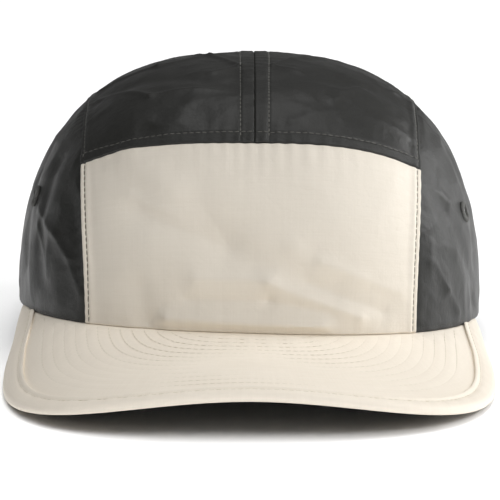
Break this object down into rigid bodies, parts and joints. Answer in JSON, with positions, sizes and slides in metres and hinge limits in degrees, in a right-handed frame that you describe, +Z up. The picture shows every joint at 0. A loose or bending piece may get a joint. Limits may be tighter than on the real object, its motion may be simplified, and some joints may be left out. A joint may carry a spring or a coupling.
{
  "type": "five panel cap",
  "caption": "Soft cloth cap with a boxy front panel, side and top panels, a stitched curved peak with bound edge, sewn eyelets and a back strap.",
  "frame": {"origin": "on the surface that the cap rests on, under the middle of its box", "axes": "+Z up, -Y towards the peak's front edge, +X to the right as seen from in front of the peak"},
  "size_m": [0.178, 0.269, 0.1058],
  "materials": {
    "cream_cloth": "fine woven nylon, soft sheen",
    "peak_cloth": "fine woven nylon over a thin board, stitched in rows",
    "binding_cloth": "fine woven nylon, folded",
    "charcoal_cloth": "fine woven nylon, soft sheen",
    "eyelet_thread": "satin stitched thread",
    "band_cloth": "plain twill",
    "webbing": "ribbed webbing",
    "slider_plastic": "matt moulded"
  },
  "bodies": {
    "root": {"front_panel": "cream_cloth", "top_panel_left": "charcoal_cloth", "top_panel_right": "charcoal_cloth", "side_panel_left": "charcoal_cloth", "side_panel_right": "charcoal_cloth", "eyelet_left": "eyelet_thread", "eyelet_right": "eyelet_thread", "peak": "peak_cloth", "peak_binding": "binding_cloth", "sweatband": "band_cloth", "back_strap": "webbing", "strap_slider": "slider_plastic"}
  },
  "joints": []
}
